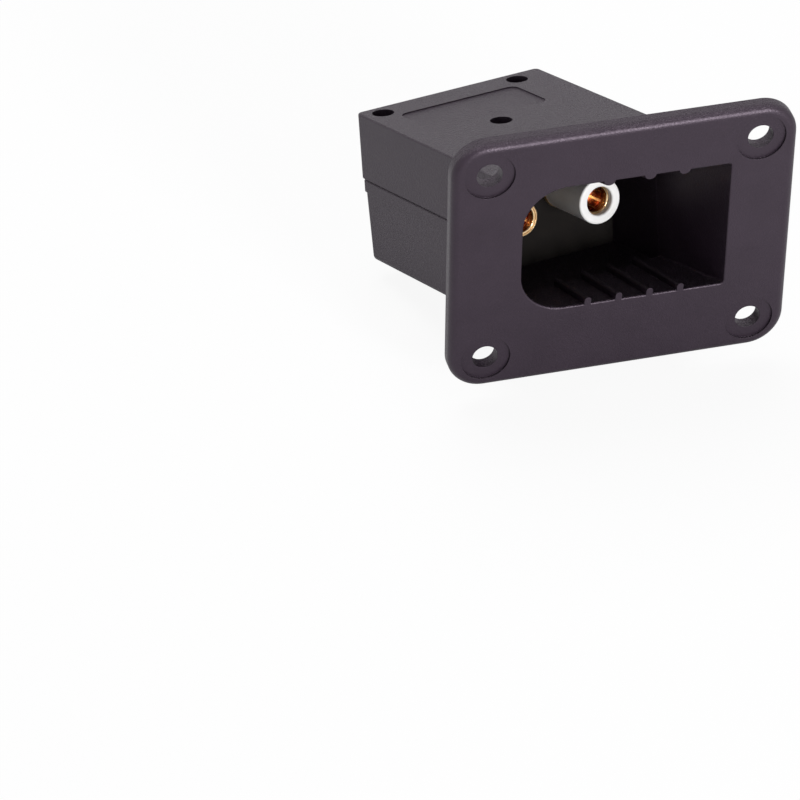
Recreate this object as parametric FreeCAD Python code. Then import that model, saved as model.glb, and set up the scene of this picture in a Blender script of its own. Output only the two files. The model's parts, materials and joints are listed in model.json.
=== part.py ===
import FreeCAD, Part
import math
import os

# Charger receptacle for a golf cart, in millimetres.
# A moulded flange with a D-shaped mouth carries a box that leans back, left and down from it.
# The part frame has the flange upright in XZ, its front facing -Y, its back face at Y = 0.
# The body frame has its origin at the middle of the flange's front face and its Y axis down the socket.

# Flange
flange_width = 85.5
flange_height = 71.5
flange_thick = 4.0
flange_corner_radius = 9.0
flange_edge_round = 2.0
mount_from_side = 9.25
mount_from_top = 8.75
mount_hole_dia = 6.4
mount_recess_dia = 12.4
mount_recess_depth = 0.6

# Lean of the socket from the flange
body_pitch = 17.0
body_yaw = 17.0

# Mouth, measured on the front face from the middle of the flange
mouth_left = 24.9
mouth_right = 26.5
mouth_bottom = 14.9
mouth_top = 20.8
mouth_round_left = 11.0
mouth_round_right = 0.8
mouth_edge_round = 0.4

# Walls and lengths of the box, along the body frame
wall_left = 2.3
wall_right = 2.6
wall_top = 2.0
wall_bottom = 2.2
wall_rear = 2.4
floor_drop = 1.9
ceiling_drop = 1.15
body_length = 79.3
lower_rear_inset = 0.7
split_height = 3.4
split_chamfer = 0.3
split_gap = 0.05
rear_notch_depth = 1.6
rear_notch_height = 1.0
top_edge_round = 0.5
rear_corner_round = 1.5
boss_sink = 0.6

# Tongue of the flange housing that the two halves clamp
collar_clear = 0.5
tongue_length = 3.6
tongue_thick = 0.9
ridge_height = 0.35
ridge_setback = 1.5
ridge_width = 1.0
joint_gap = 0.1

# Shallow relief on the lower half, below a band at the split
relief_below_split = 3.1
relief_front = 38.0
relief_corner = 4.0
relief_step = 0.3
relief_foot = 0.75

# Guide ribs
floor_rib_count = 4
floor_rib_pitch = 7.67
floor_rib_from_right = 7.44
floor_rib_width = 1.6
floor_rib_height = 1.75
floor_rib_turn = 5.0
roof_ribs_from_right = (12.95, 21.15, 30.85)
roof_rib_width = 2.7
roof_rib_height = 1.15

# Label panel on the top, left bare
panel_from_left = 7.4
panel_from_right = 12.4
panel_from_rear = 8.6
panel_length = 16.2
panel_corner = 2.2
panel_depth = 0.3

# Screws that hold the halves
screw_from_left = 5.1
screw_from_right = 9.1
screw_from_rear = 4.8
front_screw_shift = -1.4
front_screw_gap = 0.4
screw_shank_dia = 3.0
screw_head_dia = 5.3
screw_head_height = 2.2
screw_head_round = 0.7
screw_tip_chamfer = 0.75
screw_length = 14.0
screw_web = 2.6
screw_hole_play = 0.5
screw_pilot_play = 0.1
screw_pilot_spare = 1.6
screw_well_play = 0.3
screw_boss_wall = 1.0
screw_socket_width = 3.2
screw_socket_slot = 0.7
screw_socket_depth = 1.3

# Contact carrier plate
socket_depth = 43.0
carrier_thick = 2.2
carrier_groove = 0.8
carrier_gap = 0.1

# Contacts, made for a plain round pin
pin_dia = 6.35
contact_pitch = 21.7
contact_shift = -1.2
contact_height = 3.0
contact_reach = 16.2
contact_wall = 0.75
contact_bore_depth = 13.2
drill_point_share = 0.25
contact_face_ring = 0.6
contact_face_groove = 0.35
contact_tip_round = 0.3
contact_collar_step = 1.4
contact_collar_thick = 2.0
stud_dia = 6.0
stud_gap = 0.1
cup_dia = 4.9
cup_bore_dia = 3.8
cup_length = 10.0
cup_bore_depth = 8.5
thread_beyond_nut = 1.2

# Mouth ring and spring cage in each contact
ring_setback = 0.2
ring_length = 1.6
ring_lead = 0.22
ring_pin_gap = 0.2
ring_fit_gap = 0.02
cage_wall = 0.2
cage_pin_gap = 0.15
cage_spring_room = 0.4
cage_band = 1.2
cage_blades = 10
cage_slot_angle = 10.0

# White insulating sleeve on the right contact
sleeve_wall = 1.25
sleeve_lip = 1.8
sleeve_pin_gap = 0.95
sleeve_gap = 0.05
sleeve_edge_round = 0.5

# Nut and lock washer behind the carrier
nut_across_flats = 10.0
nut_thick = 3.2
nut_bevel = 0.35
washer_dia = 9.8
washer_thick = 1.4
washer_slit = 0.8

# Cable outlets in the rear wall, half in each half of the box
outlet_dia = 9.0
outlet_chamfer = 0.5

# Working values: how far a cutter stands past what it cuts, and the margin for picking edges
over = 1.0
near = 0.1

# Sizes that follow from those above
cavity_left = -mouth_left * math.cos(math.radians(body_yaw))
cavity_right = mouth_right * math.cos(math.radians(body_yaw))
cavity_bottom = -mouth_bottom * math.cos(math.radians(body_pitch))
cavity_top = mouth_top * math.cos(math.radians(body_pitch)) - ceiling_drop
cavity_round = mouth_round_left * math.cos(math.radians(body_pitch))
rear_floor = cavity_bottom - floor_drop
body_left = cavity_left - wall_left
body_right = cavity_right + wall_right
body_top = cavity_top + wall_top
body_bottom = rear_floor - wall_bottom
lower_rear = body_length - lower_rear_inset
chamber_rear = body_length - wall_rear
carrier_front = socket_depth
carrier_back = carrier_front + carrier_thick
nut_front = carrier_back + washer_thick
stud_end = nut_front + nut_thick + thread_beyond_nut
mount_x = flange_width / 2 - mount_from_side
mount_z = flange_height / 2 - mount_from_top
reach = flange_width + body_length
across = FreeCAD.Vector(1, 0, 0)
along = FreeCAD.Vector(0, 1, 0)
upward = FreeCAD.Vector(0, 0, 1)

lean = FreeCAD.Rotation(across, -body_pitch).multiply(FreeCAD.Rotation(upward, body_yaw))
body_frame = FreeCAD.Placement(FreeCAD.Vector(0, -flange_thick, 0), lean)

# The collar runs until the lowest left corner of the box has left the flange
side_lean = lean.multVec(across).y
depth_lean = lean.multVec(along).y
height_lean = lean.multVec(upward).y
flange_exit = (flange_thick - side_lean * body_left - height_lean * body_bottom) / depth_lean
collar_end = flange_exit + collar_clear
halves_front = collar_end + joint_gap
tongue_end = collar_end + tongue_length
ridge_start = collar_end + ridge_setback
relief_top = split_height - relief_below_split
roof_run = tongue_end + mouth_top * math.sin(math.radians(body_pitch))
roof_rise = math.degrees(math.atan(ceiling_drop / roof_run))

contact_middle = (cavity_left + cavity_right) / 2 + contact_shift
contact_x = {"left": contact_middle - contact_pitch / 2, "right": contact_middle + contact_pitch / 2}
contact_tip = carrier_front - contact_reach
contact_bore_dia = pin_dia + cage_pin_gap + 2 * (cage_wall + cage_spring_room)
contact_dia = contact_bore_dia + 2 * contact_wall
ring_bore_dia = pin_dia + ring_pin_gap
sleeve_hole_dia = pin_dia + sleeve_pin_gap
sleeve_dia = contact_dia + 2 * (sleeve_gap + sleeve_wall)

screw_hole_dia = screw_shank_dia + screw_hole_play
screw_pilot_dia = screw_shank_dia + screw_pilot_play
screw_well_dia = screw_head_dia + screw_well_play
screw_boss_dia = screw_well_dia + 2 * screw_boss_wall
screw_pilot_depth = screw_length - screw_web + screw_pilot_spare
screw_places = (
    (body_left + screw_from_left, body_length - screw_from_rear),
    (body_right - screw_from_right, body_length - screw_from_rear),
    (contact_middle + front_screw_shift, carrier_back + front_screw_gap + screw_boss_dia / 2),
)
rib_root = tongue_thick / 2


def lean_back(shape):
    """A copy of a shape built in the body frame, put where it lies in the part frame."""
    placed = shape.copy()
    placed.Placement = body_frame.multiply(placed.Placement)
    return placed


def block(x0, x1, y0, y1, z0, z1):
    return Part.makeBox(x1 - x0, y1 - y0, z1 - z0, FreeCAD.Vector(x0, y0, z0))


def rod(dia, start, length, direction):
    return Part.makeCylinder(dia / 2, length, start, direction)


def outline(x0, x1, z0, z1, left_radius, right_radius, y):
    """A closed wire in the XZ direction with its own corner radius on each side."""
    corners = (
        (x0, z0, left_radius, 1, 1),
        (x1, z0, right_radius, -1, 1),
        (x1, z1, right_radius, -1, -1),
        (x0, z1, left_radius, 1, -1),
    )
    runs = []
    for place, (x, z, r, sx, sz) in enumerate(corners):
        on_x = FreeCAD.Vector(x + sx * r, y, z)
        on_z = FreeCAD.Vector(x, y, z + sz * r)
        bulge = r * (1 - math.sqrt(0.5))
        middle = FreeCAD.Vector(x + sx * bulge, y, z + sz * bulge)
        first, last = (on_z, on_x) if place % 2 == 0 else (on_x, on_z)
        runs.append((first, middle, last))
    edges = []
    for place, (first, middle, last) in enumerate(runs):
        edges.append(Part.Arc(first, middle, last).toShape())
        edges.append(Part.LineSegment(last, runs[(place + 1) % 4][0]).toShape())
    return Part.Wire(edges)


def prism(wire, length):
    return Part.Face(wire).extrude(along * length)


def socket_prism(grow, y0, y1, floor=cavity_bottom):
    """The D-shaped section of the socket, grown outwards by an offset, between two depths."""
    wire = outline(
        cavity_left - grow,
        cavity_right + grow,
        floor - grow,
        cavity_top + grow,
        cavity_round + grow,
        mouth_round_right + grow,
        y0,
    )
    return prism(wire, y1 - y0)


def box_prism(y0, y1):
    """The outer section of the box between two depths."""
    return block(body_left, body_right, y0, y1, body_bottom, body_top)


def turned(profile, x, z):
    """A turned piece from a list of radius and depth, about an axis down the socket."""
    points = [FreeCAD.Vector(r, y, 0) for r, y in profile]
    face = Part.Face(Part.makePolygon(points + points[:1]))
    piece = face.revolve(FreeCAD.Vector(0, 0, 0), along, 360)
    piece.translate(FreeCAD.Vector(x, 0, z))
    return piece


def edges_where(shape, test):
    return [edge for edge in shape.Edges if test(edge.BoundBox)]


def floor_ribs(y0, y1):
    """Round-topped ribs on the floor of the socket, turned a little about their rear ends."""
    ribs = []
    radius = floor_rib_width / 2
    shoulder = cavity_bottom + floor_rib_height - radius
    for place in range(floor_rib_count):
        x = cavity_right - floor_rib_from_right - place * floor_rib_pitch
        web = block(x - radius, x + radius, y0, y1 + over, cavity_bottom - rib_root, shoulder)
        crown = rod(floor_rib_width, FreeCAD.Vector(x, y0, shoulder), y1 + over - y0, along)
        rib = web.fuse(crown).removeSplitter()
        rib.rotate(FreeCAD.Vector(x, y1, 0), upward, -floor_rib_turn)
        ribs.append(rib.common(block(-reach, reach, -reach, y1, cavity_bottom - reach, cavity_top)))
    return ribs


def roof_ribs(y0, y1):
    """Low half-round ribs under the roof of the socket, which rises towards the mouth."""
    ribs = []
    radius = (roof_rib_width ** 2 / 4 + roof_rib_height ** 2) / (2 * roof_rib_height)
    centre = cavity_top - roof_rib_height + radius
    for from_right in roof_ribs_from_right:
        x = cavity_right - from_right
        bar = rod(2 * radius, FreeCAD.Vector(x, y0, centre), y1 + over - y0, along)
        rib = bar.common(block(-reach, reach, -reach, reach, centre - radius, cavity_top + rib_root))
        rib.rotate(FreeCAD.Vector(x, y1, cavity_top), across, -roof_rise)
        ribs.append(rib.common(block(-reach, reach, -reach, y1, -reach, reach)))
    return ribs


def flange_plate():
    wire = outline(
        -flange_width / 2,
        flange_width / 2,
        -flange_height / 2,
        flange_height / 2,
        flange_corner_radius,
        flange_corner_radius,
        -flange_thick,
    )
    plate = prism(wire, flange_thick)
    front = edges_where(plate, lambda box: box.YMax < -flange_thick / 2)
    return plate.makeFillet(flange_edge_round, front)


def mount_holes():
    """Screw holes of the flange, each with a shallow round recess on the front."""
    cutters = []
    for sx in (-1, 1):
        for sz in (-1, 1):
            start = FreeCAD.Vector(sx * mount_x, -flange_thick, sz * mount_z)
            cutters.append(rod(mount_hole_dia, start, flange_thick, along))
            cutters.append(rod(mount_recess_dia, start, mount_recess_depth, along))
    return cutters


def flange_housing():
    """Flange and front of the socket, moulded as one, with the tongue that the halves clamp."""
    behind_front = block(-reach, reach, -flange_thick + flange_edge_round, reach, -reach, reach)
    collar = lean_back(box_prism(-reach / 2, collar_end)).common(behind_front)
    tongue = lean_back(socket_prism(tongue_thick, 0, tongue_end)).common(behind_front)
    ridge = lean_back(socket_prism(tongue_thick + ridge_height, ridge_start, ridge_start + ridge_width))
    housing = flange_plate().fuse([collar, tongue, ridge]).removeSplitter()
    mouth = outline(
        -mouth_left,
        mouth_right,
        -mouth_bottom,
        mouth_top,
        mouth_round_left,
        mouth_round_right,
        -flange_thick,
    )
    seam = outline(
        cavity_left,
        cavity_right,
        cavity_bottom,
        cavity_top,
        cavity_round,
        mouth_round_right,
        tongue_end,
    )
    bore = Part.makeLoft([mouth, lean_back(seam)], True, True)
    housing = housing.cut(bore)
    housing = housing.cut(mount_holes())
    rim = edges_where(
        housing,
        lambda box: box.YMax < -flange_thick + near
        and abs(box.XMin) < mouth_right + near
        and abs(box.XMax) < mouth_right + near
        and abs(box.ZMin) < mouth_top + near
        and abs(box.ZMax) < mouth_top + near,
    )
    housing = housing.makeFillet(mouth_edge_round, rim)
    in_front = block(-reach, reach, -flange_thick, reach, -reach, reach)
    ribs = floor_ribs(-reach / 2, tongue_end) + roof_ribs(-reach / 2, tongue_end)
    housing = housing.fuse([lean_back(rib).common(in_front) for rib in ribs])
    return housing.removeSplitter()


def half_hollow():
    """What both halves leave open: joint with the flange housing, socket, carrier slot and chamber."""
    return [
        socket_prism(tongue_thick + joint_gap, collar_end - over, tongue_end + joint_gap),
        socket_prism(
            tongue_thick + ridge_height + joint_gap,
            ridge_start - joint_gap,
            ridge_start + ridge_width + joint_gap,
        ),
        socket_prism(0, tongue_end, carrier_back, rear_floor),
        socket_prism(carrier_groove, carrier_front, carrier_back, rear_floor),
        block(cavity_left, cavity_right, carrier_back, chamber_rear, rear_floor, cavity_top),
    ]


def outlet_cuts(rear):
    """Round holes through the rear wall, in line with the contacts, chamfered at the outside."""
    cutters = []
    for x in contact_x.values():
        start = FreeCAD.Vector(x, chamber_rear - over, split_height)
        mouth = FreeCAD.Vector(x, rear - outlet_chamfer, split_height)
        depth = outlet_chamfer + over
        cutters.append(rod(outlet_dia, start, reach, along))
        cutters.append(Part.makeCone(outlet_dia / 2, outlet_dia / 2 + depth, depth, mouth, along))
    return cutters


def upper_housing():
    low = split_height + split_gap / 2
    shell = block(body_left, body_right, halves_front, body_length, low, body_top)
    upright = edges_where(shell, lambda box: box.YMin > body_length - near and box.ZLength > over)
    shell = shell.makeFillet(rear_corner_round, upright)
    crown = edges_where(shell, lambda box: box.ZMin > body_top - near and box.YMax > halves_front + over)
    shell = shell.makeFillet(top_edge_round, crown)
    sides = edges_where(shell, lambda box: box.ZMax < low + near and box.XLength < near)
    shell = shell.makeChamfer(split_chamfer, sides)
    beside = body_left - over
    wedge = Part.Face(Part.makePolygon([
        FreeCAD.Vector(beside, body_length - rear_notch_depth, low),
        FreeCAD.Vector(beside, body_length + over, low),
        FreeCAD.Vector(beside, body_length + over, low + rear_notch_height),
        FreeCAD.Vector(beside, body_length, low + rear_notch_height),
        FreeCAD.Vector(beside, body_length - rear_notch_depth, low),
    ])).extrude(across * (body_right - body_left + 2 * over))
    inside = block(body_left, body_right, halves_front, chamber_rear + boss_sink, low, body_top)
    half = shell.cut(half_hollow()).cut(wedge)
    additions = []
    for x, y in screw_places:
        boss = rod(screw_boss_dia, FreeCAD.Vector(x, y, low), cavity_top + boss_sink - low, upward)
        additions.append(boss.common(inside))
    half = half.fuse(additions)
    cuts = outlet_cuts(body_length)
    for x, y in screw_places:
        web_top = low + screw_web
        cuts.append(rod(screw_hole_dia, FreeCAD.Vector(x, y, low - over), reach, upward))
        cuts.append(rod(screw_well_dia, FreeCAD.Vector(x, y, web_top), reach, upward))
    panel = block(
        body_left + panel_from_left,
        body_right - panel_from_right,
        body_length - panel_from_rear - panel_length,
        body_length - panel_from_rear,
        body_top - panel_depth,
        body_top + over,
    )
    corners = edges_where(panel, lambda box: box.ZLength > over)
    cuts.append(panel.makeFillet(panel_corner, corners))
    return half.cut(cuts).removeSplitter()


def relief():
    """The thin layer that is missing from the lower half, below the band and behind the front."""
    y0, z1, r = relief_front, relief_top, relief_corner
    bulge = r * (1 - math.sqrt(0.5))
    x0 = body_left - over
    deep = body_bottom - over
    points = [
        FreeCAD.Vector(x0, y0, deep),
        FreeCAD.Vector(x0, y0, z1 - r),
        FreeCAD.Vector(x0, y0 + r, z1),
        FreeCAD.Vector(x0, body_length + over, z1),
        FreeCAD.Vector(x0, body_length + over, deep),
    ]
    corner = FreeCAD.Vector(x0, y0 + bulge, z1 - bulge)
    wire = Part.Wire([
        Part.LineSegment(points[0], points[1]).toShape(),
        Part.Arc(points[1], corner, points[2]).toShape(),
        Part.LineSegment(points[2], points[3]).toShape(),
        Part.LineSegment(points[3], points[4]).toShape(),
        Part.LineSegment(points[4], points[0]).toShape(),
    ])
    region = Part.Face(wire).extrude(across * (body_right - body_left + 2 * over))
    rings = []
    for inset, z in ((relief_foot, body_bottom), (relief_step, relief_top + over)):
        rings.append(Part.makePolygon([
            FreeCAD.Vector(body_left + inset, 0, z),
            FreeCAD.Vector(body_right - inset, 0, z),
            FreeCAD.Vector(body_right - inset, lower_rear - inset, z),
            FreeCAD.Vector(body_left + inset, lower_rear - inset, z),
            FreeCAD.Vector(body_left + inset, 0, z),
        ]))
    core = Part.makeLoft(rings, True, True)
    rounded = edges_where(
        core,
        lambda box: (box.YMin > over and box.ZLength > over)
        or (box.ZMax < body_bottom + near and box.YMax > over),
    )
    return region.cut(core.makeFillet(rear_corner_round, rounded))


def lower_housing():
    high = split_height - split_gap / 2
    shell = block(body_left, body_right, halves_front, lower_rear, body_bottom, high)
    rounded = edges_where(
        shell,
        lambda box: (box.YMin > lower_rear - near and box.ZLength > over)
        or (box.ZMax < body_bottom + near and box.YMax > halves_front + over),
    )
    shell = shell.makeFillet(rear_corner_round, rounded)
    sides = edges_where(shell, lambda box: box.ZMin > high - near and box.XLength < near)
    shell = shell.makeChamfer(split_chamfer, sides)
    inside = block(body_left, body_right, halves_front, chamber_rear + boss_sink, body_bottom, high)
    half = shell.cut(half_hollow())
    additions = []
    for x, y in screw_places:
        boss = rod(screw_boss_dia, FreeCAD.Vector(x, y, rear_floor - boss_sink), reach, upward)
        additions.append(boss.common(inside))
    half = half.fuse(additions)
    cuts = outlet_cuts(lower_rear)
    for x, y in screw_places:
        pilot = FreeCAD.Vector(x, y, high - screw_pilot_depth)
        cuts.append(rod(screw_pilot_dia, pilot, reach, upward))
    cuts.append(relief())
    return half.cut(cuts).removeSplitter()


def housing_screws():
    """Three pan-head screws, each seated on the web at the foot of its well."""
    seat = split_height + split_gap / 2 + screw_web
    screws = []
    for x, y in screw_places:
        head = rod(screw_head_dia, FreeCAD.Vector(x, y, seat), screw_head_height, upward)
        rim = edges_where(head, lambda box: box.ZMin > seat + screw_head_height - near)
        head = head.makeFillet(screw_head_round, rim)
        shank = rod(screw_shank_dia, FreeCAD.Vector(x, y, seat - screw_length), screw_length, upward)
        tip = edges_where(shank, lambda box: box.ZMax < seat - screw_length + near)
        shank = shank.makeChamfer(screw_tip_chamfer, tip)
        top = seat + screw_head_height
        low = top - screw_socket_depth
        half_slot = screw_socket_slot / 2
        half_width = screw_socket_width / 2
        slots = [
            block(x - half_width, x + half_width, y - half_slot, y + half_slot, low, top + over),
            block(x - half_slot, x + half_slot, y - half_width, y + half_width, low, top + over),
        ]
        screws.append(head.fuse(shank).cut(slots).removeSplitter())
    return Part.makeCompound(screws)


def contact_carrier():
    """Insulating plate that slides into the groove of both halves and holds the contacts."""
    plate = socket_prism(
        carrier_groove - carrier_gap,
        carrier_front + carrier_gap / 2,
        carrier_back - carrier_gap / 2,
        rear_floor,
    )
    holes = [
        rod(stud_dia + 2 * stud_gap, FreeCAD.Vector(x, carrier_front - over, contact_height), reach, along)
        for x in contact_x.values()
    ]
    return plate.cut(holes)


def contact(x):
    """Turned brass socket with a collar, a threaded stud and a solder cup."""
    tip = contact_tip
    outer = contact_dia / 2
    bore = contact_bore_dia / 2
    ring = outer - contact_face_ring
    collar_front = carrier_front + carrier_gap / 2 - contact_collar_thick
    profile = [
        (bore, tip + contact_face_groove),
        (ring, tip + contact_face_groove),
        (ring, tip),
        (outer - contact_tip_round, tip),
        (outer, tip + contact_tip_round),
        (outer, collar_front),
        (outer + contact_collar_step, collar_front),
        (outer + contact_collar_step, collar_front + contact_collar_thick),
        (stud_dia / 2, collar_front + contact_collar_thick),
        (stud_dia / 2, stud_end),
        (cup_dia / 2, stud_end),
        (cup_dia / 2, stud_end + cup_length),
        (cup_bore_dia / 2, stud_end + cup_length),
        (cup_bore_dia / 2, stud_end + cup_length - cup_bore_depth),
        (0, stud_end + cup_length - cup_bore_depth - cup_bore_dia * drill_point_share),
        (0, tip + contact_bore_depth + contact_bore_dia * drill_point_share),
        (bore, tip + contact_bore_depth),
    ]
    return turned(profile, x, contact_height)


def mouth_ring(x):
    """Thin ring pressed into the mouth of a contact, with a flared lead-in."""
    outer = contact_bore_dia / 2 - ring_fit_gap
    inner = ring_bore_dia / 2
    front = contact_tip + ring_setback
    profile = [
        (inner + ring_lead, front),
        (outer, front),
        (outer, front + ring_length),
        (inner, front + ring_length),
        (inner, front + ring_lead),
    ]
    return turned(profile, x, contact_height)


def spring_cage(x):
    """Copper cage of waisted blades between two bands, behind the mouth ring."""
    outer = contact_bore_dia / 2 - ring_fit_gap
    inner = outer - cage_wall
    waist = (pin_dia + cage_pin_gap) / 2
    y0 = contact_tip + ring_setback + ring_length + ring_fit_gap
    y1 = contact_tip + contact_bore_depth - ring_fit_gap
    middle = (y0 + y1) / 2
    bands = []
    for start in (y0, y1 - cage_band):
        end = start + cage_band
        bands.append([(inner, start), (outer, start), (outer, end), (inner, end)])
    blade = [
        (inner, y0 + cage_band / 2),
        (outer, y0 + cage_band / 2),
        (outer, y0 + cage_band),
        (waist + cage_wall, middle),
        (outer, y1 - cage_band),
        (outer, y1 - cage_band / 2),
        (inner, y1 - cage_band / 2),
        (inner, y1 - cage_band),
        (waist, middle),
        (inner, y0 + cage_band),
    ]
    points = [FreeCAD.Vector(r, y, 0) for r, y in blade]
    face = Part.Face(Part.makePolygon(points + points[:1]))
    step = 360 / cage_blades
    blades = []
    for turn in range(cage_blades):
        piece = face.revolve(FreeCAD.Vector(0, 0, 0), along, step - cage_slot_angle)
        piece.rotate(FreeCAD.Vector(0, 0, 0), along, turn * step)
        piece.translate(FreeCAD.Vector(x, 0, contact_height))
        blades.append(piece)
    rings = [turned(band, x, contact_height) for band in bands]
    return rings[0].fuse([rings[1]] + blades).removeSplitter()


def insulating_sleeve(x):
    """White tube over the right contact, with a lip that covers the end of the brass."""
    outer = sleeve_dia / 2
    front = contact_tip - sleeve_lip
    back = carrier_front + carrier_gap / 2 - contact_collar_thick
    inner = contact_dia / 2 + sleeve_gap
    tube = turned(
        [
            (sleeve_hole_dia / 2, front),
            (outer, front),
            (outer, back),
            (inner, back),
            (inner, contact_tip),
            (sleeve_hole_dia / 2, contact_tip),
        ],
        x,
        contact_height,
    )
    face_edges = edges_where(tube, lambda box: box.YMax < front + near)
    return tube.makeFillet(sleeve_edge_round, face_edges)


def contact_nuts():
    corner = nut_across_flats / math.sqrt(3)
    nuts = []
    for x in contact_x.values():
        points = []
        for k in range(7):
            turn = math.radians(90 + 60 * k)
            points.append(FreeCAD.Vector(
                x + corner * math.cos(turn), nut_front, contact_height + corner * math.sin(turn)
            ))
        nut = Part.Face(Part.makePolygon(points)).extrude(along * nut_thick)
        bevel = Part.makeCone(
            corner - nut_bevel + nut_thick,
            corner - nut_bevel,
            nut_thick,
            FreeCAD.Vector(x, nut_front, contact_height),
            along,
        )
        start = FreeCAD.Vector(x, nut_front - over, contact_height)
        bore = rod(stud_dia + stud_gap, start, reach, along)
        nuts.append(nut.common(bevel).cut(bore))
    return Part.makeCompound(nuts)


def lock_washers():
    """Split spring washers between the carrier and the nuts."""
    washers = []
    for x in contact_x.values():
        start = FreeCAD.Vector(x, carrier_back - carrier_gap / 2, contact_height)
        ring = rod(washer_dia, start, washer_thick + carrier_gap / 2, along)
        ring = ring.cut(rod(stud_dia + 2 * stud_gap, start, reach, along))
        slit = block(-washer_slit / 2, washer_slit / 2, -over, reach, 0, washer_dia)
        slit.translate(start)
        washers.append(ring.cut(slit))
    return Part.makeCompound(washers)


pieces = {
    "flange_housing": flange_housing(),
    "upper_housing": lean_back(upper_housing()),
    "lower_housing": lean_back(lower_housing()),
    "housing_screws": lean_back(housing_screws()),
    "contact_carrier": lean_back(contact_carrier()),
    "insulating_sleeve": lean_back(insulating_sleeve(contact_x["right"])),
    "contact_nuts": lean_back(contact_nuts()),
    "lock_washers": lean_back(lock_washers()),
}
for side, place in contact_x.items():
    pieces["contact_" + side] = lean_back(contact(place))
    pieces["mouth_ring_" + side] = lean_back(mouth_ring(place))
    pieces["spring_cage_" + side] = lean_back(spring_cage(place))

os.makedirs("parts", exist_ok=True)
for name, shape in pieces.items():
    shape.exportStep("parts/" + name + ".step")
    print(name, "solids", len(shape.Solids), "valid", shape.isValid(), "volume", round(shape.Volume, 1))
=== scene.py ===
import bpy
import json
from mathutils import Matrix, Vector


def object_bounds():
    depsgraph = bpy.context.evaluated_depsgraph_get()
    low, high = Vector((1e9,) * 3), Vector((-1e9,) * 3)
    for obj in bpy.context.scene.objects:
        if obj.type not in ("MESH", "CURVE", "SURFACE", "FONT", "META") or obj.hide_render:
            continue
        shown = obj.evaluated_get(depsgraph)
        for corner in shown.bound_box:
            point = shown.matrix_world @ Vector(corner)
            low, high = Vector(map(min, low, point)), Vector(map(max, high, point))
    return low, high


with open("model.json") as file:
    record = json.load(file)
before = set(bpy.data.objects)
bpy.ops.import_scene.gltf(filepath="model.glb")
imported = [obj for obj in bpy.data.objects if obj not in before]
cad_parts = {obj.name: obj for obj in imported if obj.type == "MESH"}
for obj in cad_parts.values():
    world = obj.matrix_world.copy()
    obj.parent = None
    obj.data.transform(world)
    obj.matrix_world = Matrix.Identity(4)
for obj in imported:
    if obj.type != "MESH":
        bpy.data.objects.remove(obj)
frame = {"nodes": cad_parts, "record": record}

cadLow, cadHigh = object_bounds()
scene = bpy.context.scene
nodes = frame["nodes"]

# directions of the leaning box, taken from the axis of the left socket
mounts = {mount["name"]: mount for mount in frame["record"]["mounts"]}
downSocket = -Vector(mounts["socket_left"]["axis"]).normalized()
boxUp = Vector((0.0, -downSocket.z, downSocket.y)).normalized()
print("frame loaded,", len(nodes), "nodes")

white = (1.0, 1.0, 1.0, 1.0)
bevelSamples = 6


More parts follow.
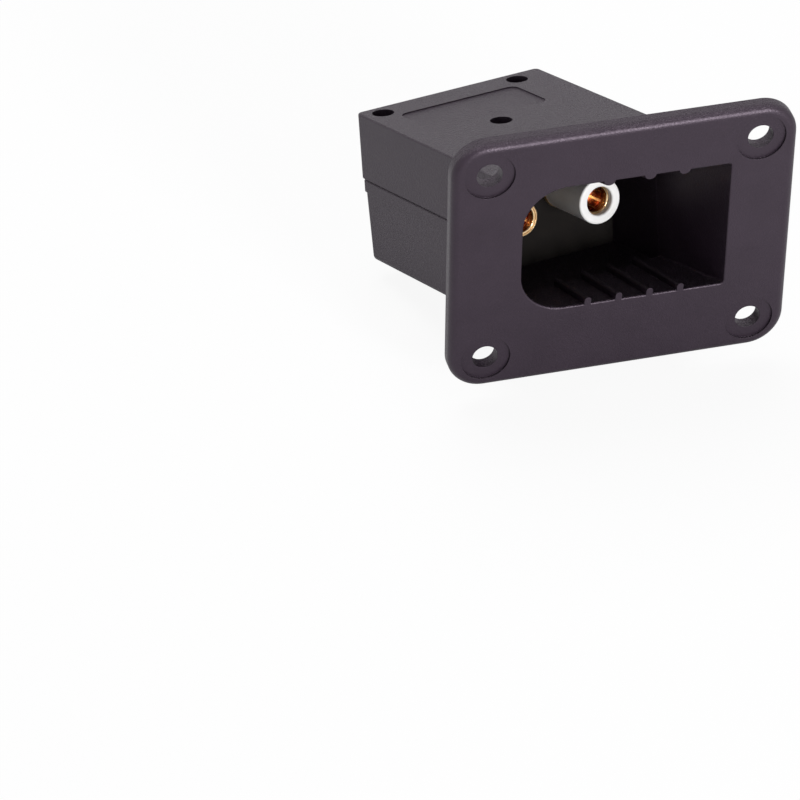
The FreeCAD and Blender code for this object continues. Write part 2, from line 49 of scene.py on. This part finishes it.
# small helpers for building materials
class Recipe:
    def __init__(self, name):
        self.material = bpy.data.materials.new(name)
        self.material.use_nodes = True
        self.tree = self.material.node_tree
        self.shader = self.tree.nodes["Principled BSDF"]
        self.output = self.tree.nodes["Material Output"]
        self.coords = self.add("ShaderNodeTexCoord").outputs["Object"]

    def add(self, kind, **settings):
        node = self.tree.nodes.new(kind)
        for key, value in settings.items():
            setattr(node, key, value)
        return node

    def link(self, source, target):
        self.tree.links.new(source, target)

    def combine(self, operation, first, second):
        node = self.add("ShaderNodeMath", operation=operation)
        for place, value in enumerate((first, second)):
            if isinstance(value, float):
                node.inputs[place].default_value = value
            else:
                self.link(value, node.inputs[place])
        return node.outputs[0]

    def noise(self, size, detail, rough=0.5):
        node = self.add("ShaderNodeTexNoise")
        node.inputs["Scale"].default_value = 1.0 / size
        node.inputs["Detail"].default_value = detail
        node.inputs["Roughness"].default_value = rough
        self.link(self.coords, node.inputs["Vector"])
        return node.outputs["Fac"]

    def cells(self, size):
        node = self.add("ShaderNodeTexVoronoi")
        node.inputs["Scale"].default_value = 1.0 / size
        self.link(self.coords, node.inputs["Vector"])
        return node.outputs["Distance"]

    def project(self, vectors, axis):
        node = self.add("ShaderNodeVectorMath", operation="DOT_PRODUCT")
        node.inputs[1].default_value = axis
        self.link(vectors, node.inputs[0])
        return node.outputs["Value"]

    def lines(self, axis, size, detail=3.0):    # marks that run round an axis
        node = self.add("ShaderNodeTexNoise", noise_dimensions="1D")
        node.inputs["Scale"].default_value = 1.0 / size
        node.inputs["Detail"].default_value = detail
        self.link(self.project(self.coords, axis), node.inputs["W"])
        return node.outputs["Fac"]

    def spread(self, value, low, high, fromLow=0.3, fromHigh=0.7):
        node = self.add("ShaderNodeMapRange")
        node.inputs["From Min"].default_value = fromLow
        node.inputs["From Max"].default_value = fromHigh
        node.inputs["To Min"].default_value = low
        node.inputs["To Max"].default_value = high
        self.link(value, node.inputs["Value"])
        return node.outputs["Result"]

    def color(self, factor, first, second):
        node = self.add("ShaderNodeMix", data_type="RGBA")
        node.inputs["A"].default_value = (*first, 1.0)
        node.inputs["B"].default_value = (*second, 1.0)
        self.link(factor, node.inputs["Factor"])
        self.link(node.outputs["Result"], self.shader.inputs["Base Color"])

    def roughness(self, value, low, high):
        self.link(self.spread(value, low, high), self.shader.inputs["Roughness"])

    def bumps(self, layers, edge):    # rounded edges, then each layer of height and depth
        bevel = self.add("ShaderNodeBevel", samples=bevelSamples)
        bevel.inputs["Radius"].default_value = edge
        normal = bevel.outputs["Normal"]
        for height, depth in layers:
            bump = self.add("ShaderNodeBump")
            bump.inputs["Strength"].default_value = 1.0
            bump.inputs["Distance"].default_value = depth
            self.link(height, bump.inputs["Height"])
            self.link(normal, bump.inputs["Normal"])
            normal = bump.outputs["Normal"]
        self.link(normal, self.shader.inputs["Normal"])

    def sockets(self, **values):
        names = {
            "metallic": "Metallic",
            "roughness": "Roughness",
            "specular": "Specular IOR Level",
            "tint": "Specular Tint",
        }
        for key, value in values.items():
            self.shader.inputs[names[key]].default_value = value


# black moulded plastic, spark-eroded grain
mouldedPlastic = {
    "dark": (0.0085, 0.0045, 0.0090),
    "light": (0.0165, 0.0105, 0.0172),
    "patchSize": 0.009,
    "patchDetail": 4.0,
    "patchShare": 0.5,
    "grainSize": 0.00028,
    "grainDetail": 3.0,
    "grainRough": 0.6,
    "grainDepth": 0.00038,
    "pebbleSize": 0.0006,
    "pebbleDepth": 0.00022,
    "sideGrain": 0.12,
    "sideBelow": 0.35,
    "topAbove": 0.9,
    "roughLow": 0.34,
    "roughHigh": 0.50,
    "edge": 0.0001,
    "specular": 0.48,
    "tint": (1.0, 0.84, 1.0, 1.0),
}


def makeMouldedPlastic(name, tint=1.0, grain=1.0):
    s = mouldedPlastic
    recipe = Recipe(name)
    patches = recipe.noise(s["patchSize"], s["patchDetail"])
    fine = recipe.noise(s["grainSize"], s["grainDetail"], s["grainRough"])
    pebbles = recipe.cells(s["pebbleSize"])
    mixed = recipe.combine(
        "ADD",
        recipe.spread(patches, 0.0, s["patchShare"]),
        recipe.spread(fine, 0.0, 1.0 - s["patchShare"]),
    )
    recipe.color(mixed, [c * tint for c in s["dark"]], [c * tint for c in s["light"]])
    recipe.roughness(fine, s["roughLow"], s["roughHigh"])
    recipe.sockets(specular=s["specular"], tint=s["tint"])
    # the grain is coarse on faces that look up and nearly smooth on the sides
    facing = recipe.project(recipe.add("ShaderNodeNewGeometry").outputs["Normal"], boxUp)
    share = recipe.spread(facing, s["sideGrain"], 1.0, s["sideBelow"], s["topAbove"])
    layers = [
        (recipe.combine("MULTIPLY", height, share), depth * grain)
        for height, depth in ((pebbles, s["pebbleDepth"]), (fine, s["grainDepth"]))
    ]
    recipe.bumps(layers, s["edge"])
    return recipe.material


# dark brown fibre board that carries the contacts
board = {
    "dark": (0.0035, 0.0024, 0.0022),
    "light": (0.0085, 0.0064, 0.0054),
    "fibreSize": 0.0007,
    "fibreDetail": 5.0,
    "fibreRough": 0.7,
    "fibreShare": (0.2, 1.2),
    "fleckSize": 0.004,
    "fleckDetail": 3.0,
    "fleckShare": (0.4, 1.0),
    "roughLow": 0.52,
    "roughHigh": 0.72,
    "specular": 0.12,
    "depth": 0.00004,
    "edge": 0.0002,
}


def makeBoard(name):
    s = board
    recipe = Recipe(name)
    fibres = recipe.noise(s["fibreSize"], s["fibreDetail"], s["fibreRough"])
    flecks = recipe.noise(s["fleckSize"], s["fleckDetail"])
    mixed = recipe.combine(
        "MULTIPLY",
        recipe.spread(fibres, *s["fibreShare"]),
        recipe.spread(flecks, *s["fleckShare"]),
    )
    recipe.color(mixed, s["dark"], s["light"])
    recipe.roughness(fibres, s["roughLow"], s["roughHigh"])
    recipe.sockets(specular=s["specular"])
    recipe.bumps([(fibres, s["depth"])], s["edge"])
    return recipe.material


# white sleeve, smooth with faint turning marks
sleeve = {
    "dark": (0.78, 0.765, 0.75),
    "light": (0.87, 0.865, 0.86),
    "cloudSize": 0.006,
    "cloudDetail": 4.0,
    "markSize": 0.0005,
    "depth": 0.000012,
    "roughLow": 0.33,
    "roughHigh": 0.46,
    "edge": 0.0002,
}


def makeSleeve(name):
    s = sleeve
    recipe = Recipe(name)
    clouds = recipe.noise(s["cloudSize"], s["cloudDetail"])
    marks = recipe.lines(downSocket, s["markSize"])
    recipe.color(recipe.spread(clouds, 0.0, 1.0), s["dark"], s["light"])
    recipe.roughness(marks, s["roughLow"], s["roughHigh"])
    recipe.bumps([(marks, s["depth"])], s["edge"])
    return recipe.material


# turned metals: fine lines round the axis, slightly uneven colour
turnedMetals = {
    "contact_brass": {
        "dark": (0.62, 0.38, 0.18), "light": (0.90, 0.66, 0.38), "rough": 0.22, "line": 0.00022,
    },
    "ring_brass": {
        "dark": (0.72, 0.46, 0.22), "light": (0.94, 0.72, 0.44), "rough": 0.18, "line": 0.00018,
    },
    # spring copper colours are copper's own tone plus painted shade: darkened well below bare
    # copper for the deep socket it sits in
    "spring_copper": {
        "dark": (0.20, 0.05, 0.025), "light": (0.52, 0.18, 0.10), "rough": 0.18, "line": 0.0005,
    },
    "plated_brass": {
        "dark": (0.58, 0.50, 0.32), "light": (0.80, 0.72, 0.50), "rough": 0.28, "line": 0.0003,
    },
    "screw_steel": {
        "dark": (0.42, 0.42, 0.41), "light": (0.66, 0.66, 0.65), "rough": 0.30, "line": 0.0003,
    },
}
metalMarks = {
    "stainSize": 0.0022,
    "stainDetail": 5.0,
    "stainRough": 0.65,
    "stainDepth": 0.00002,
    "lineDepth": 0.000012,
    "smoother": 0.06,
    "rougher": 0.12,
    "edge": 0.00012,
}


def makeTurnedMetal(name):
    s = turnedMetals[name]
    m = metalMarks
    recipe = Recipe(name + "_finish")
    rings = recipe.lines(boxUp if name == "screw_steel" else downSocket, s["line"])
    stains = recipe.noise(m["stainSize"], m["stainDetail"], m["stainRough"])
    recipe.color(recipe.spread(stains, 0.0, 1.0), s["dark"], s["light"])
    recipe.roughness(rings, s["rough"] - m["smoother"], s["rough"] + m["rougher"])
    recipe.sockets(metallic=1.0)
    recipe.bumps([(rings, m["lineDepth"]), (stains, m["stainDepth"])], m["edge"])
    return recipe.material


finishes = {
    "flange_plastic": makeMouldedPlastic("flange_grain"),
    "box_plastic": makeMouldedPlastic("box_grain", tint=0.96, grain=1.15),
    "carrier_board": makeBoard("carrier_fibre"),
    "white_plastic": makeSleeve("sleeve_white"),
}
for slotName in turnedMetals:
    finishes[slotName] = makeTurnedMetal(slotName)

for entry in frame["record"]["subparts"]:
    piece = nodes[entry["node"]]
    piece.data.materials.clear()
    piece.data.materials.append(finishes[entry["material_slot"]])
print("finishes on", len(nodes), "nodes")


# floor: pale, keeps a soft shadow, fades to white
floorSettings = {
    "size": 6.0,
    "gap": 0.0004,
    "color": (0.88, 0.88, 0.89, 1.0),
    "roughness": 0.9,
    "specular": 0.1,
    "lift": 0.92,          # share of plain white that the camera sees
    "mirrorLift": 0.2,     # share that glossy surfaces see
}


def makeFloor():
    s = floorSettings
    half = s["size"] / 2
    z = cadLow.z - s["gap"]
    mesh = bpy.data.meshes.new("floor")
    corners = [(-half, -half, z), (half, -half, z), (half, half, z), (-half, half, z)]
    mesh.from_pydata(corners, [], [(0, 1, 2, 3)])
    floor = bpy.data.objects.new("floor", mesh)
    scene.collection.objects.link(floor)
    recipe = Recipe("floor_white")
    recipe.shader.inputs["Base Color"].default_value = s["color"]
    recipe.sockets(roughness=s["roughness"], specular=s["specular"])
    glow = recipe.add("ShaderNodeEmission")
    glow.inputs["Color"].default_value = white
    rays = recipe.add("ShaderNodeLightPath")
    seen = recipe.combine("MULTIPLY", rays.outputs["Is Camera Ray"], s["lift"])
    mirrored = recipe.combine("MULTIPLY", rays.outputs["Is Glossy Ray"], s["mirrorLift"])
    mix = recipe.add("ShaderNodeMixShader")
    recipe.link(recipe.combine("MAXIMUM", seen, mirrored), mix.inputs[0])
    recipe.link(recipe.shader.outputs[0], mix.inputs[1])
    recipe.link(glow.outputs[0], mix.inputs[2])
    recipe.link(mix.outputs[0], recipe.output.inputs["Surface"])
    mesh.materials.append(recipe.material)


makeFloor()


# world: soft fill, white where the camera and mirror-like surfaces see it
studio = {
    "fill": 0.16,
    "aim": (-0.010, 0.025, 0.0),
    "lamps": {
        "front": {"at": (0.37, -1.16, 0.36), "size": (0.3, 0.3), "power": 15.0},
        "overhead": {"at": (-0.10, 0.45, 0.95), "size": (0.9, 0.7), "power": 9.0},
    },
}


def makeWorld():
    world = bpy.data.worlds.new("studio")
    scene.world = world
    world.use_nodes = True
    tree = world.node_tree
    background = tree.nodes["Background"]
    rays = tree.nodes.new("ShaderNodeLightPath")
    bright = rays.outputs["Is Camera Ray"]
    for kind in ("Is Transmission Ray", "Is Glossy Ray"):
        either = tree.nodes.new("ShaderNodeMath")
        either.operation = "MAXIMUM"
        tree.links.new(bright, either.inputs[0])
        tree.links.new(rays.outputs[kind], either.inputs[1])
        bright = either.outputs[0]
    strength = tree.nodes.new("ShaderNodeMapRange")
    strength.inputs["To Min"].default_value = studio["fill"]
    strength.inputs["To Max"].default_value = 1.0
    tree.links.new(bright, strength.inputs["Value"])
    background.inputs["Color"].default_value = white
    tree.links.new(strength.outputs["Result"], background.inputs["Strength"])


def makeLamps():
    for name, s in studio["lamps"].items():
        lamp = bpy.data.lights.new(name, "AREA")
        lamp.shape = "RECTANGLE"
        lamp.size, lamp.size_y = s["size"]
        lamp.energy = s["power"]
        holder = bpy.data.objects.new(name, lamp)
        holder.location = s["at"]
        toward = Vector(studio["aim"]) - holder.location
        holder.rotation_euler = toward.to_track_quat("-Z", "Y").to_euler()
        scene.collection.objects.link(holder)


makeWorld()
makeLamps()
print("floor, world and lamps ready")


# camera: place and directions worked out from the photograph's edges, part frame
cameraSettings = {
    "place": (-0.25992, -0.77355, 0.60051),
    "right": (0.9679, -0.2512, 0.0081),
    "forward": (0.2011, 0.7549, -0.6242),
    "focal": 188.68,
    "sensor": 36.0,
    "nearest": 0.01,
}


def makeCamera():
    s = cameraSettings
    camera = bpy.data.cameras.new("camera")
    camera.lens = s["focal"]
    camera.sensor_width = s["sensor"]
    camera.clip_start = s["nearest"]
    holder = bpy.data.objects.new("camera", camera)
    scene.collection.objects.link(holder)
    forward = Vector(s["forward"]).normalized()
    right = Vector(s["right"])
    right = (right - forward * forward.dot(right)).normalized()
    up = right.cross(forward)
    turn = Matrix((right, up, -forward)).transposed().to_4x4()
    holder.matrix_world = Matrix.Translation(s["place"]) @ turn
    scene.camera = holder


makeCamera()
scene.view_settings.view_transform = "Standard"
print("camera ready")
